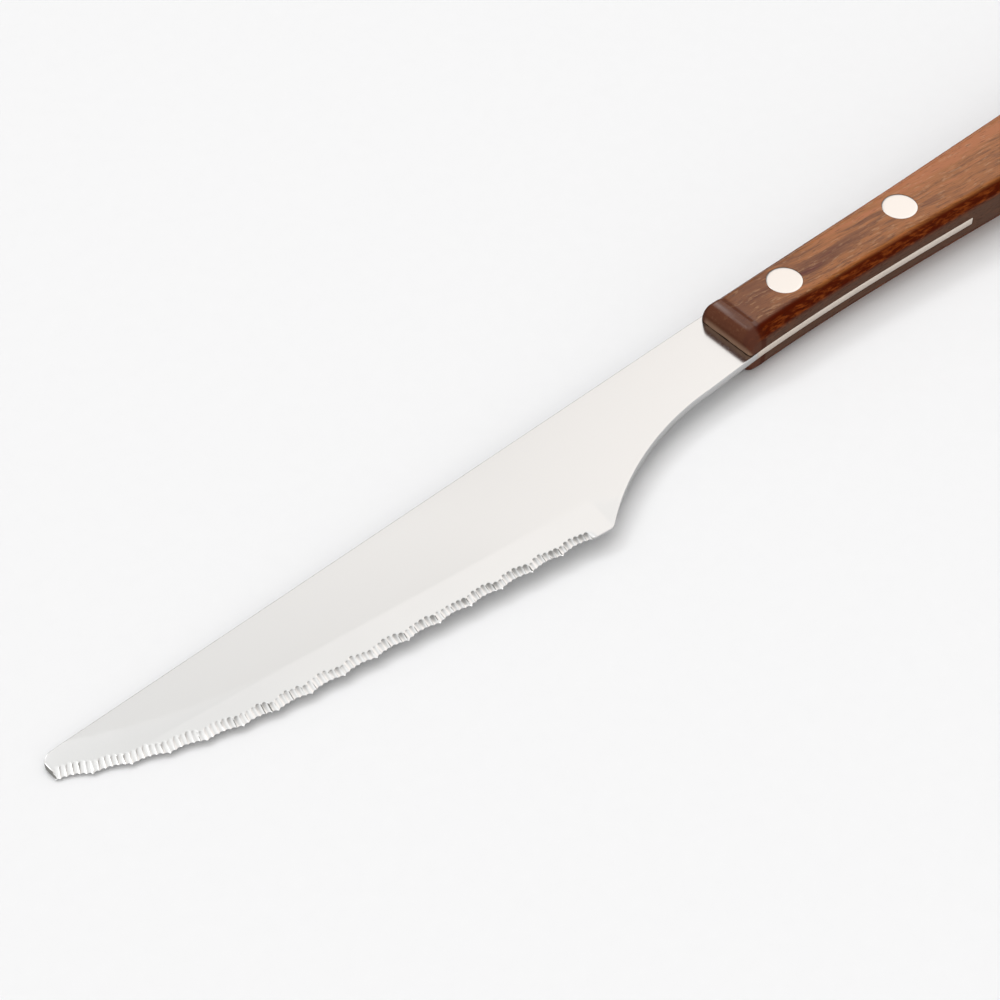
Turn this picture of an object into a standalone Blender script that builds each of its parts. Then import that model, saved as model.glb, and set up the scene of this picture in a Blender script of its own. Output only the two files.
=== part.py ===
"""Table knife: a serrated steel blade riveted into a slotted wooden handle, lying on its side.

Every piece is drawn in the knife's own frame, in metres: x = 0 at the handle's front face
with the nose towards -x and the butt towards +x, y = 0 along the spine with the cutting
edge towards -y, and z = 0 in the blade's middle plane. The whole knife is then laid down
on the nose and the front of the lower cheek, as a knife rests on a table.
"""
import math

import bmesh
import bpy
from mathutils import Matrix, Vector

# Blade
BLADE_LENGTH = 0.111
BLADE_THICKNESS = 0.0012
NOSE_RADIUS = 0.0018
NOSE_DEPTH = 0.0037
TIP_CURVE_LENGTH = 0.032
EDGE_ANGLE = math.radians(6.7)
HEEL_SETBACK = 0.03435
HEEL_DEPTH = 0.0195
NECK_LENGTH = 0.00815
NECK_DEPTH = 0.01065
TANG_LENGTH = 0.0434

# Serrated cutting edge
HEEL_LAND = 0.0033
SCALLOP_PITCH = 0.00474
SCALLOP_DEPTH = 0.00035
TEETH_PER_SCALLOP = 6
TOOTH_DEPTH = 0.0002

# Ground bevel along the edge
GRIND_WIDTH = 0.005
EDGE_THICKNESS = 0.0003
GRIND_RUN_OUT = 0.006

# Handle
HANDLE_LENGTH = 0.104
HANDLE_THICKNESS = 0.0080
HANDLE_FRONT_HEIGHT = 0.0102
HANDLE_SWELL_HEIGHT = 0.0145
SWELL_START = 0.0049
SWELL_LENGTH = 0.089
BACK_ROUNDING = 0.0039
BELLY_ROUNDING = 0.0025
FRONT_SLOPE_LENGTH = 0.0025
FRONT_SLOPE_DROP = 0.0017
FRONT_BACK_CORNER = 0.0009
FRONT_BELLY_CORNER = 0.0007
BUTT_LENGTH = 0.008

# Rivets
FRONT_RIVET_SETBACK = 0.0116
REAR_RIVET_TO_TANG_END = 0.00895
RIVET_RISE = 0.00017
RIVET_HEAD_DIAMETER = 0.0051
RIVET_HEAD_DEPTH = 0.0016
SLEEVE_DIAMETER = 0.0034
SLEEVE_REACH = 0.0016
SLEEVE_CROWN = 0.0012
PIN_DIAMETER = 0.0020

# Clearances
SLOT_CLEARANCE = 0.0001
RIVET_CLEARANCE = 0.0001
SEAT_CLEARANCE = 0.0001

# Smoothness of the curved stretches
ROUNDING_STEPS = 6
NOSE_STEPS = 8
CHOIL_STEPS = 16
TIP_CURVE_STEPS = 10
BODY_STEPS = 12
BUTT_LAST_ANGLE = math.radians(78)
TURNED_STEPS = 32
SMOOTH_ANGLE = math.radians(30)

# How far the cutting tools pass the surfaces they cut
OVERCUT = 0.002
NOSE_OVERRUN = 0.008
WELD_DISTANCE = 0.000001

# Search for the resting tilt
STEEPEST_TILT = math.radians(20)
TILT_HALVINGS = 40

# Surfaces
STEEL_COLOUR = (0.78, 0.77, 0.76)
STEEL_ROUGHNESS = 0.25
WOOD_COLOUR = (0.26, 0.11, 0.06)
WOOD_ROUGHNESS = 0.3
RIVET_COLOUR = (0.86, 0.84, 0.80)
RIVET_ROUGHNESS = 0.3

# Values that follow from the sizes above
half_blade = BLADE_THICKNESS / 2
half_handle = HANDLE_THICKNESS / 2
half_slot = half_blade + SLOT_CLEARANCE
front_drop = min(FRONT_SLOPE_DROP, half_handle - half_slot)
back_rounding = min(BACK_ROUNDING, half_handle - SLOT_CLEARANCE)
belly_rounding = min(BELLY_ROUNDING, half_handle - SLOT_CLEARANCE)
rivet_shoulder = half_handle - RIVET_HEAD_DEPTH

# The edge: straight from the heel, then an arc that meets the nose
edge_direction = Vector((-math.cos(EDGE_ANGLE), math.sin(EDGE_ANGLE)))
edge_inward = Vector((math.sin(EDGE_ANGLE), math.cos(EDGE_ANGLE)))
heel = Vector((-HEEL_SETBACK, -HEEL_DEPTH))
nose = Vector((-BLADE_LENGTH, -NOSE_DEPTH))
straight_length = (BLADE_LENGTH - TIP_CURVE_LENGTH - HEEL_SETBACK) / math.cos(EDGE_ANGLE)
curve_start = heel + edge_direction * straight_length
chord = nose - curve_start
tip_radius = chord.length_squared / (2 * chord.dot(edge_inward))
tip_turn = 2 * math.atan2(chord.dot(edge_inward), chord.dot(edge_direction))
tip_centre = curve_start + edge_inward * tip_radius
edge_length = straight_length + tip_radius * tip_turn


def edge_at(distance):
    """Point on the edge and its inward direction, at a distance from the heel to the nose."""
    past_straight = max(distance - straight_length, 0)
    turn = min(past_straight / tip_radius, tip_turn)
    angle = EDGE_ANGLE + turn
    inward = Vector((math.sin(angle), math.cos(angle)))
    if distance <= straight_length:
        return heel + edge_direction * distance, inward
    onward = Vector((-math.cos(angle), math.sin(angle)))
    return tip_centre - inward * tip_radius + onward * (past_straight - tip_radius * turn), inward


def belly_at(x):
    """Height of the handle's belly line, which swells smoothly towards the butt."""
    share = min(max((x - SWELL_START) / SWELL_LENGTH, 0), 1)
    swell = HANDLE_SWELL_HEIGHT - HANDLE_FRONT_HEIGHT
    return -HANDLE_FRONT_HEIGHT - swell * share * share * (3 - 2 * share)


def corner_at(x, radius):
    """How far a rounded corner of the handle's front draws the outline in."""
    if x >= radius:
        return 0
    return radius - math.sqrt(radius * radius - (radius - x) ** 2)


def new_collection(name):
    collection = bpy.data.collections.new(name)
    bpy.context.scene.collection.children.link(collection)
    return collection


def add_object(name, mesh, collection):
    piece = bpy.data.objects.new(name, mesh)
    collection.objects.link(piece)
    piece.parent = knife
    return piece


def as_guide(piece):
    piece.hide_render = True
    piece.display_type = "WIRE"
    return piece


def mesh_from(name, shape):
    bmesh.ops.recalc_face_normals(shape, faces=shape.faces)
    mesh = bpy.data.meshes.new(name)
    shape.to_mesh(mesh)
    shape.free()
    return mesh


def smooth(mesh):
    mesh.shade_smooth()
    mesh.set_sharp_from_angle(angle=SMOOTH_ANGLE)


def loft(name, rings):
    """Closed skin through rings of the same number of points."""
    shape = bmesh.new()
    loops = [[shape.verts.new(point) for point in ring] for ring in rings]
    count = len(rings[0])
    for first, second in zip(loops, loops[1:]):
        for index in range(count):
            after = (index + 1) % count
            shape.faces.new((first[index], first[after], second[after], second[index]))
    shape.faces.new(list(reversed(loops[0])))
    shape.faces.new(loops[-1])
    return mesh_from(name, shape)


def plate(name, outline, thickness, collection):
    """Flat piece cut to an outline, as a mesh."""
    curve = bpy.data.curves.new(name + "_outline", "CURVE")
    curve.dimensions = "2D"
    curve.fill_mode = "BOTH"
    curve.extrude = thickness / 2
    spline = curve.splines.new("POLY")
    spline.points.add(len(outline) - 1)
    for point, place in zip(spline.points, outline):
        point.co = (place[0], place[1], 0, 1)
    spline.use_cyclic_u = True
    drawing = bpy.data.objects.new(name + "_outline", curve)
    collection.objects.link(drawing)
    bpy.context.view_layer.update()
    evaluated = drawing.evaluated_get(bpy.context.evaluated_depsgraph_get())
    mesh = bpy.data.meshes.new_from_object(evaluated)
    shape = bmesh.new()
    shape.from_mesh(mesh)
    bmesh.ops.remove_doubles(shape, verts=shape.verts, dist=WELD_DISTANCE)
    bpy.data.meshes.remove(mesh)
    piece = add_object(name, mesh_from(name, shape), collection)
    piece.matrix_world = drawing.matrix_world
    bpy.data.objects.remove(drawing)
    return piece


def turned(name, profile, centre, collection):
    """Round piece spun from a profile of (radius, height) points, listed from the top down."""
    shape = bmesh.new()
    points = [shape.verts.new((radius, 0, height)) for radius, height in profile]
    for first, second in zip(points, points[1:]):
        shape.edges.new((first, second))
    mesh = bpy.data.meshes.new(name)
    shape.to_mesh(mesh)
    shape.free()
    piece = add_object(name, mesh, collection)
    piece.location = (centre[0], centre[1], 0)
    screw = piece.modifiers.new("spin", "SCREW")
    screw.axis = "Z"
    screw.angle = math.tau
    screw.steps = TURNED_STEPS
    screw.render_steps = TURNED_STEPS
    screw.use_merge_vertices = True
    screw.merge_threshold = WELD_DISTANCE
    screw.use_smooth_shade = False
    return piece


def cut(piece, tool, operation="DIFFERENCE"):
    boolean = piece.modifiers.new(tool.name, "BOOLEAN")
    boolean.operation = operation
    boolean.solver = "EXACT"
    boolean.object = tool


def finish(piece, colour, metallic, roughness):
    material = bpy.data.materials.new(piece.name + "_finish")
    material.use_nodes = True
    shader = material.node_tree.nodes["Principled BSDF"]
    shader.inputs["Base Color"].default_value = (*colour, 1)
    shader.inputs["Metallic"].default_value = metallic
    shader.inputs["Roughness"].default_value = roughness
    piece.data.materials.append(material)


for old in list(bpy.data.objects):
    bpy.data.objects.remove(old)

parts = new_collection("table_knife")
tools = new_collection("table_knife_cutters")
knife = bpy.data.objects.new("knife_frame", None)
tools.objects.link(knife)

# Handle: sections along x, each with its half thickness, back and belly
sections = []
for step in range(ROUNDING_STEPS + 1):
    angle = math.pi / 2 * step / ROUNDING_STEPS
    x = FRONT_SLOPE_LENGTH * (1 - math.cos(angle))
    half = half_handle - front_drop * (1 - math.sin(angle))
    back = -corner_at(x, FRONT_BACK_CORNER)
    belly = belly_at(x) + corner_at(x, FRONT_BELLY_CORNER)
    sections.append((x, half, back, belly))
body_length = HANDLE_LENGTH - BUTT_LENGTH - FRONT_SLOPE_LENGTH
body_places = [FRONT_SLOPE_LENGTH + body_length * step / BODY_STEPS for step in range(1, BODY_STEPS)]
for x in body_places:
    sections.append((x, half_handle, 0, belly_at(x)))
for step in range(ROUNDING_STEPS + 1):
    angle = BUTT_LAST_ANGLE * step / ROUNDING_STEPS
    x = HANDLE_LENGTH - BUTT_LENGTH * (1 - math.sin(angle) / math.sin(BUTT_LAST_ANGLE))
    share = math.cos(angle)
    middle = belly_at(x) / 2
    sections.append((x, half_handle * share, middle * (1 - share), middle * (1 + share)))


def handle_ring(x, half, back, belly):
    """Rounded outline across the handle, round its back and belly."""
    scale = half / half_handle
    at_back = back_rounding * scale
    at_belly = belly_rounding * scale
    corners = [
        (back - at_back, half - at_back, at_back),
        (belly + at_belly, half - at_belly, at_belly),
        (belly + at_belly, at_belly - half, at_belly),
        (back - at_back, at_back - half, at_back),
    ]
    ring = []
    for quarter, (y, z, radius) in enumerate(corners):
        for step in range(ROUNDING_STEPS + 1):
            angle = math.pi / 2 * (quarter + step / ROUNDING_STEPS)
            ring.append((x, y + radius * math.cos(angle), z + radius * math.sin(angle)))
    return ring


handle_mesh = loft("handle", [handle_ring(*section) for section in sections])
smooth(handle_mesh)
handle = add_object("handle", handle_mesh, parts)
handle_blank = as_guide(add_object("handle_blank", handle_mesh.copy(), tools))

# Blade and tang: one outline from the tang's end along the spine, round the nose and back
outline = [(TANG_LENGTH, 0)]
for step in range(NOSE_STEPS + 1):
    angle = math.pi / 2 * (1 + step / NOSE_STEPS)
    across = NOSE_RADIUS * (1 + math.cos(angle)) - BLADE_LENGTH
    outline.append((across, NOSE_RADIUS * (math.sin(angle) - 1)))
outline.append(tuple(nose))
tooth_step = SCALLOP_PITCH / TEETH_PER_SCALLOP / 2
tooth_points = int((edge_length - HEEL_LAND) / tooth_step)
for index in range(tooth_points - 1, -1, -1):
    place = index * tooth_step / SCALLOP_PITCH % 1
    depth = 4 * SCALLOP_DEPTH * place * (1 - place)
    if index % 2:
        depth += TOOTH_DEPTH
    point, inward = edge_at(HEEL_LAND + index * tooth_step)
    outline.append(tuple(point + inward * depth))
outline.append(tuple(heel))
choil_run = HEEL_SETBACK - NECK_LENGTH
choil_rise = HEEL_DEPTH - NECK_DEPTH
choil_radius = (choil_run ** 2 + choil_rise ** 2) / (2 * choil_rise)
choil_turn = math.atan2(choil_run, choil_radius - choil_rise)
for step in range(1, CHOIL_STEPS + 1):
    angle = choil_turn * (1 - step / CHOIL_STEPS)
    drop = choil_radius * (1 - math.cos(angle))
    outline.append((-NECK_LENGTH - choil_radius * math.sin(angle), -NECK_DEPTH - drop))
tang_places = [x for x in body_places if x < TANG_LENGTH]
for x in [FRONT_SLOPE_LENGTH, *tang_places, TANG_LENGTH]:
    outline.append((x, belly_at(x)))
blade = plate("blade", outline, BLADE_THICKNESS, parts)

# Bevel tools: a wedge swept along the edge over each face, lifting off past the heel
bevel_drop = half_blade - EDGE_THICKNESS / 2
bevel_slope = bevel_drop / GRIND_WIDTH
sweep = [(-GRIND_RUN_OUT, bevel_drop + bevel_slope * OVERCUT), (0, 0)]
for step in range(TIP_CURVE_STEPS + 1):
    sweep.append((straight_length + tip_radius * tip_turn * step / TIP_CURVE_STEPS, 0))
sweep.append((edge_length + NOSE_OVERRUN, 0))
for side, label in ((1, "upper"), (-1, "lower")):
    rings = []
    for distance, lift in sweep:
        point, inward = edge_at(distance)
        inner = point + inward * (GRIND_WIDTH + OVERCUT)
        outer = point - inward * OVERCUT
        top = side * (half_blade + OVERCUT + lift)
        inner_floor = side * (half_blade + bevel_slope * OVERCUT + lift)
        outer_floor = side * (EDGE_THICKNESS / 2 - bevel_slope * OVERCUT + lift)
        rings.append([
            (inner.x, inner.y, inner_floor),
            (outer.x, outer.y, outer_floor),
            (outer.x, outer.y, top),
            (inner.x, inner.y, top),
        ])
    wedge = as_guide(add_object("bevel_" + label, loft("bevel_" + label, rings), tools))
    cut(blade, wedge)

# Slot for the tang, open to the front, the back and the belly
slot_length = TANG_LENGTH + SLOT_CLEARANCE + OVERCUT
slot_height = HANDLE_SWELL_HEIGHT + 2 * OVERCUT
slot_size = Matrix.Diagonal((slot_length, slot_height, 2 * half_slot, 1))
slot_place = Matrix.Translation((slot_length / 2 - OVERCUT, -HANDLE_SWELL_HEIGHT / 2, 0))
slot_shape = bmesh.new()
bmesh.ops.create_cube(slot_shape, size=1, matrix=slot_place @ slot_size)
slot = as_guide(add_object("slot", mesh_from("slot", slot_shape), tools))
cut(handle, slot)

# Rivets: a headed sleeve from the upper cheek and a headed pin pressed into it from below
head = RIVET_HEAD_DIAMETER / 2
sleeve = SLEEVE_DIAMETER / 2
pin = PIN_DIAMETER / 2
proud = half_handle + OVERCUT
seat = rivet_shoulder - SEAT_CLEARANCE
bore_end = half_handle - SLEEVE_CROWN
wood_bore = [
    (0, proud),
    (head + RIVET_CLEARANCE, proud),
    (head + RIVET_CLEARANCE, seat),
    (sleeve + RIVET_CLEARANCE, seat),
    (sleeve + RIVET_CLEARANCE, -seat),
    (head + RIVET_CLEARANCE, -seat),
    (head + RIVET_CLEARANCE, -proud),
    (0, -proud),
]
sleeve_profile = [
    (0, proud),
    (head, proud),
    (head, rivet_shoulder),
    (sleeve, rivet_shoulder),
    (sleeve, -SLEEVE_REACH),
    (pin + RIVET_CLEARANCE, -SLEEVE_REACH),
    (pin + RIVET_CLEARANCE, bore_end),
    (0, bore_end),
]
pin_profile = [
    (0, bore_end - SEAT_CLEARANCE),
    (pin, bore_end - SEAT_CLEARANCE),
    (pin, -rivet_shoulder),
    (head, -rivet_shoulder),
    (head, -proud),
    (0, -proud),
]
rivets = []
rear_rivet = TANG_LENGTH - REAR_RIVET_TO_TANG_END
for x, label in ((FRONT_RIVET_SETBACK, "front"), (rear_rivet, "rear")):
    centre = (x, belly_at(x) / 2 + RIVET_RISE)
    bore = as_guide(turned(label + "_bore", wood_bore, centre, tools))
    cut(handle, bore)
    cut(blade, bore)
    for profile, suffix in ((sleeve_profile, "sleeve"), (pin_profile, "pin")):
        rivet = turned(label + "_rivet_" + suffix, profile, centre, parts)
        cut(rivet, handle_blank, "INTERSECT")
        rivets.append(rivet)

finish(blade, STEEL_COLOUR, 1, STEEL_ROUGHNESS)
finish(handle, WOOD_COLOUR, 0, WOOD_ROUGHNESS)
for rivet in rivets:
    finish(rivet, RIVET_COLOUR, 1, RIVET_ROUGHNESS)


def solid_points(pieces):
    """Corners of the finished pieces in the knife's frame."""
    bpy.context.view_layer.update()
    graph = bpy.context.evaluated_depsgraph_get()
    points = []
    for piece in pieces:
        evaluated = piece.evaluated_get(graph)
        mesh = evaluated.to_mesh()
        points.extend(evaluated.matrix_world @ corner.co for corner in mesh.vertices)
        evaluated.to_mesh_clear()
    return points


def lowest(points, tilt):
    return min(point.x * math.sin(tilt) + point.z * math.cos(tilt) for point in points)


# Lay the knife down: tip it until the nose and the handle's lower cheek touch the table together
blade_points = solid_points([blade])
handle_points = solid_points([handle])
flatter, steeper = 0, STEEPEST_TILT
for _ in range(TILT_HALVINGS):
    tilt = (flatter + steeper) / 2
    if lowest(blade_points, tilt) > lowest(handle_points, tilt):
        flatter = tilt
    else:
        steeper = tilt
knife.rotation_euler = (0, -tilt, 0)

# Stand the frame under the middle of the knife's box
corners = solid_points([blade, handle, *rivets])
low = [min(point[axis] for point in corners) for axis in range(3)]
high = [max(point[axis] for point in corners) for axis in range(3)]
knife.location = (-(low[0] + high[0]) / 2, -(low[1] + high[1]) / 2, -low[2])
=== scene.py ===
# %% [markdown]
# # A table knife, piece by piece
# The knife has a serrated steel blade, a slotted wooden handle and two rivets that hold them
# together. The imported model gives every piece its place, so the lesson starts by loading it.
# Each plain solid is then replaced by a finer piece, and the picture is lit and framed last.

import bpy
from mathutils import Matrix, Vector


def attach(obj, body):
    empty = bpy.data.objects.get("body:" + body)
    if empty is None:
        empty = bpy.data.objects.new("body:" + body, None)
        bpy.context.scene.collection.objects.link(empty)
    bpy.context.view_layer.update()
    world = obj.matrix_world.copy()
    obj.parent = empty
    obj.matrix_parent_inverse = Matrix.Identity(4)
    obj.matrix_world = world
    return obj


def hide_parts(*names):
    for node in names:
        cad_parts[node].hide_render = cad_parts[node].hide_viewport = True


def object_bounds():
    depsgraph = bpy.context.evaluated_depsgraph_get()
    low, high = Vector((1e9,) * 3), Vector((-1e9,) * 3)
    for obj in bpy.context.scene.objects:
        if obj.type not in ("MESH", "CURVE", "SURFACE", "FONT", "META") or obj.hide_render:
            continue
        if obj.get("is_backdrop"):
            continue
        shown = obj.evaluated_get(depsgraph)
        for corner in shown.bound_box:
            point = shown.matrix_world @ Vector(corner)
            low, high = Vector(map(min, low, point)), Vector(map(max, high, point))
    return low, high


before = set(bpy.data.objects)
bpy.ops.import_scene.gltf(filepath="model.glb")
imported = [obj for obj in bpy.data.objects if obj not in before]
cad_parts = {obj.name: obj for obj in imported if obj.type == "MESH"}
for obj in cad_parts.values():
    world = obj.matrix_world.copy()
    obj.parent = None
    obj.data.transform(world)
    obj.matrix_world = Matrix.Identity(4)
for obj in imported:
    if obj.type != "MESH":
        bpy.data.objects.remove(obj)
cad_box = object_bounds()
print("packed pieces:", sorted(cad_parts))

# %% [markdown]
# ## The knife's own axes
# The knife lies on its side and leans on its nose, so none of its faces is level. It is easier
# to draw in its own axes, in millimetres: x runs along the spine from the handle's front to the
# butt, y from the cutting edge up to the spine, z across the blade. One matrix then lays each
# finished mesh on the table, and the objects themselves stay at the origin.

# %% Lay a drawing on the table
import math

import bmesh
import bpy
from mathutils import Matrix, Vector

MM = 0.001
REST_TILT = math.radians(1.7728762)
REST_PLACE = (0.003490075, 0.00975, 0.003920741)
on_table = (Matrix.Translation(REST_PLACE) @ Matrix.Rotation(-REST_TILT, 4, "Y")
            @ Matrix.Scale(MM, 4))
print("handle front, spine:", [round(c / MM, 2) for c in on_table @ Vector((0, 0, 0))], "mm")


def make_piece(name, shape, sharp_degrees):
    """Turn a finished drawing into an object of the scene."""
    bmesh.ops.recalc_face_normals(shape, faces=shape.faces)
    bmesh.ops.transform(shape, matrix=on_table, verts=shape.verts)
    mesh = bpy.data.meshes.new(name)
    shape.to_mesh(mesh)
    shape.free()
    mesh.shade_smooth()
    mesh.set_sharp_from_angle(angle=math.radians(sharp_degrees))
    piece = bpy.data.objects.new(name, mesh)
    bpy.context.scene.collection.objects.link(piece)
    return piece


# %% [markdown]
# ## The line of the cutting edge
# The edge leaves the heel in a straight line and bends up to the nose in one long arc. Every
# part of the grinding is measured from this line: how far along it a point is, and how far in
# from it. Two small functions answer both questions, so the rest of the blade needs no others.

# %% Measure along the edge and in from it
BLADE_LENGTH = 111.0
HEEL = Vector((-34.35, -19.5))
NOSE = Vector((-BLADE_LENGTH, -3.7))
EDGE_ANGLE = math.radians(6.7)
TIP_CURVE = 32.0  # length of blade that the arc takes up

edge_way = Vector((-math.cos(EDGE_ANGLE), math.sin(EDGE_ANGLE)))
edge_in = Vector((math.sin(EDGE_ANGLE), math.cos(EDGE_ANGLE)))
straight_edge = (BLADE_LENGTH - TIP_CURVE + HEEL.x) / math.cos(EDGE_ANGLE)
curve_start = HEEL + edge_way * straight_edge
chord = NOSE - curve_start
tip_radius = chord.length_squared / (2 * chord.dot(edge_in))
tip_turn = 2 * math.atan2(chord.dot(edge_in), chord.dot(edge_way))
tip_centre = curve_start + edge_in * tip_radius
edge_length = straight_edge + tip_radius * tip_turn


def edge_point(along):
    """Point on the edge and the direction into the blade, at a distance from the heel."""
    past = max(along - straight_edge, 0)
    angle = EDGE_ANGLE + past / tip_radius
    inward = Vector((math.sin(angle), math.cos(angle)))
    if past == 0:
        return HEEL + edge_way * along, inward
    return tip_centre - inward * tip_radius, inward


def edge_distance(point):
    """How far along the edge a point of the blade is, and how far in."""
    along = (point - HEEL).dot(edge_way)
    if along < straight_edge:
        return along, (point - HEEL).dot(edge_in)
    ray = tip_centre - point
    turn = math.atan2(ray.x, ray.y) - EDGE_ANGLE
    if turn < tip_turn:
        return straight_edge + tip_radius * turn, tip_radius - ray.length
    inward = edge_point(edge_length)[1]
    onward = Vector((-inward.y, inward.x))
    return edge_length + (point - NOSE).dot(onward), (point - NOSE).dot(inward)


print(f"edge {edge_length:.1f} mm long, tip curve radius {tip_radius:.1f} mm")

# %% [markdown]
# ## Teeth and flutes
# A profiled wheel grinds the serrations into one face only. Each of its ridges leaves a flute, a
# little gutter with an arched top, and six flutes together hollow one scallop out of the edge.
# Flutes are longer in the middle of a scallop and toward the nose, deeper at the heel end of each
# scallop, and shallower where the blade gets narrow. The wheel never bites twice in quite the
# same way, so each flute also gets its own reach, bite and shift from a seeded random generator.

# %% Cut the flutes of one face
import random

HEEL_LAND = 3.3  # plain edge between the heel and the first flute
FLUTE_PITCH = 0.79
FLUTES_PER_SCALLOP = 6
SCALLOP_DEPTH = 0.42
TOOTH_DEPTH = 0.2
FLUTE_REACH = 1.25  # how far a flute runs into the face, then what is added to that
NOSE_REACH = 0.4
SCALLOP_REACH = 0.45
REACH_SPREAD = 0.16
FLUTE_TOP_SLOPE = 0.33
FLUTE_EDGE_SLOPE = 0.12
FLUTE_LIP = 0.015
FLUTE_LIP_RUN = 0.1
FLUTE_RIDGE = 0.11
BITE_RANGE = (0.92, 1.12)
FIRST_BITE = 1.1  # of a scallop's flute next to the heel end, and its fall to the other end
BITE_FALL = 0.3
SHIFT_SPREAD = 0.05
NOSE_EASE = 0.37

wheel = random.Random(7)
flute_count = int((edge_length - HEEL_LAND) / FLUTE_PITCH) + 1
bites = [(wheel.uniform(-REACH_SPREAD, REACH_SPREAD), wheel.uniform(*BITE_RANGE),
          wheel.uniform(-SHIFT_SPREAD, SHIFT_SPREAD)) for _ in range(flute_count)]


def scallop_share(along):
    """0 at the point between two scallops, 1 in the middle of one."""
    part = (along - HEEL_LAND) / FLUTE_PITCH / FLUTES_PER_SCALLOP % 1
    return 4 * part * (1 - part)


def edge_recess(along):
    """How far the toothed outline lies inside the edge line."""
    if along <= HEEL_LAND:
        return 0
    part = (along - HEEL_LAND) / FLUTE_PITCH % 1
    return SCALLOP_DEPTH * scallop_share(along) + TOOTH_DEPTH * 4 * part * (1 - part)


def flute_depth(along, inside):
    """How deep the wheel cut below the bevel at this place."""
    place = int((along - HEEL_LAND) / FLUTE_PITCH + 1) - 1
    shallow = 1 - NOSE_EASE * along / edge_length
    deepest = 0
    for number in range(max(place - 1, 0), min(place + 2, flute_count)):
        extra, bite, shift = bites[number]
        centre = HEEL_LAND + (number + 0.5) * FLUTE_PITCH
        reach = FLUTE_REACH + NOSE_REACH * centre / edge_length + extra
        reach += SCALLOP_REACH * scallop_share(centre)
        bite *= FIRST_BITE - BITE_FALL * (number % FLUTES_PER_SCALLOP) / FLUTES_PER_SCALLOP
        aside = (along - centre) / FLUTE_PITCH - shift
        run = max(reach - inside, 0)
        lip = FLUTE_LIP * min(run / FLUTE_LIP_RUN, 1)
        bend = (FLUTE_TOP_SLOPE - FLUTE_EDGE_SLOPE) * run / (2 * reach)
        cut = bite * (FLUTE_TOP_SLOPE - bend) * run + lip - FLUTE_RIDGE * abs(2 * aside) ** 3
        deepest = max(deepest, shallow * cut)
    return deepest


print(flute_count, "flutes,", round(flute_count / FLUTES_PER_SCALLOP, 1), "scallops")

# %% [markdown]
# ## The blade blank as a stretched grid
# A blade is stamped from sheet, so it is one skin above and one below with a wall between. A
# grid operator gives the skin: its columns stand on the tang, the neck, the hollow behind the
# heel and the edge, and reach up to the spine. The tang is as high as the handle, whose belly
# sinks toward the butt in a soft S-curve. The columns from the tang's end to the heel come first.

# %% Plan the columns behind the heel
TANG_LENGTH = 43.4
TANG_FRONT = 2.5
TANG_STEP = 2.0
BELLY_SLOPE = (4.9, 93.9)  # where the belly starts and stops sinking, and its heights there
BELLY_HEIGHT = (-10.2, -14.5)
NECK = Vector((-8.15, -10.65))
NECK_STEPS = 12
HOLLOW_STEPS = 48
HEEL_ROUND = 0.45
HEEL_SHARES = (0.2, 0.4, 0.6, 0.8)


def s_curve(share):
    """Bend a share from 0 to 1 so that it starts and stops softly."""
    share = min(max(share, 0), 1)
    return share * share * (3 - 2 * share)


def belly_at(x):
    """Height of the handle's belly line."""
    share = s_curve((x - BELLY_SLOPE[0]) / (BELLY_SLOPE[1] - BELLY_SLOPE[0]))
    return BELLY_HEIGHT[0] + (BELLY_HEIGHT[1] - BELLY_HEIGHT[0]) * share


columns = []
for step in range(int((TANG_LENGTH - TANG_FRONT) / TANG_STEP) + 1):
    x = TANG_LENGTH - TANG_STEP * step
    columns.append((Vector((x, belly_at(x))), Vector((x, 0))))
tang_foot = Vector((TANG_FRONT, belly_at(TANG_FRONT)))
for step in range(NECK_STEPS):
    foot = tang_foot.lerp(NECK, step / NECK_STEPS)
    columns.append((foot, Vector((foot.x, 0))))
hollow_run, hollow_rise = NECK.x - HEEL.x, NECK.y - HEEL.y
hollow_radius = (hollow_run ** 2 + hollow_rise ** 2) / (2 * hollow_rise)
hollow_turn = math.atan2(hollow_run, hollow_radius - hollow_rise)
heel_lean = -HEEL.y * math.tan(EDGE_ANGLE)


def hollow_point(turn):
    """Point on the arc that sweeps from the neck down to the heel."""
    return NECK - Vector((hollow_radius * math.sin(turn), hollow_radius * (1 - math.cos(turn))))


def hollow_top(foot):
    """Point on the spine over a foot, leaning more and more as the edge's columns do."""
    return Vector((foot.x + heel_lean * (NECK.x - foot.x) / hollow_run, 0))


heel_start = hollow_turn - HEEL_ROUND / hollow_radius
for step in range(HOLLOW_STEPS + 1):
    foot = hollow_point(heel_start * step / HOLLOW_STEPS)
    columns.append((foot, hollow_top(foot)))
before, after = hollow_point(heel_start), edge_point(HEEL_ROUND)[0]
for share in HEEL_SHARES:
    foot = before.lerp(HEEL, share).lerp(HEEL.lerp(after, share), share)
    columns.append((foot, hollow_top(foot)))
blunt_columns = len(columns)
print(blunt_columns, "columns behind the heel")

# %% [markdown]
# ## Columns along the edge
# Columns crowd where the flutes are, eight to each, because the shape there has to come from real
# facets that catch the light. Their feet follow the scallops and the teeth. Past the last one a
# small fan of columns closes the nose, which is cut off blunt and rounded at the spine.

# %% Plan the columns along the edge
NOSE_RADIUS = 1.8
LAND_STEPS = 8
COLUMNS_PER_FLUTE = 8
NOSE_FAN = (0.25, 0.5, 0.7, 0.85, 0.93, 0.97, 0.99, 1.0)

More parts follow.
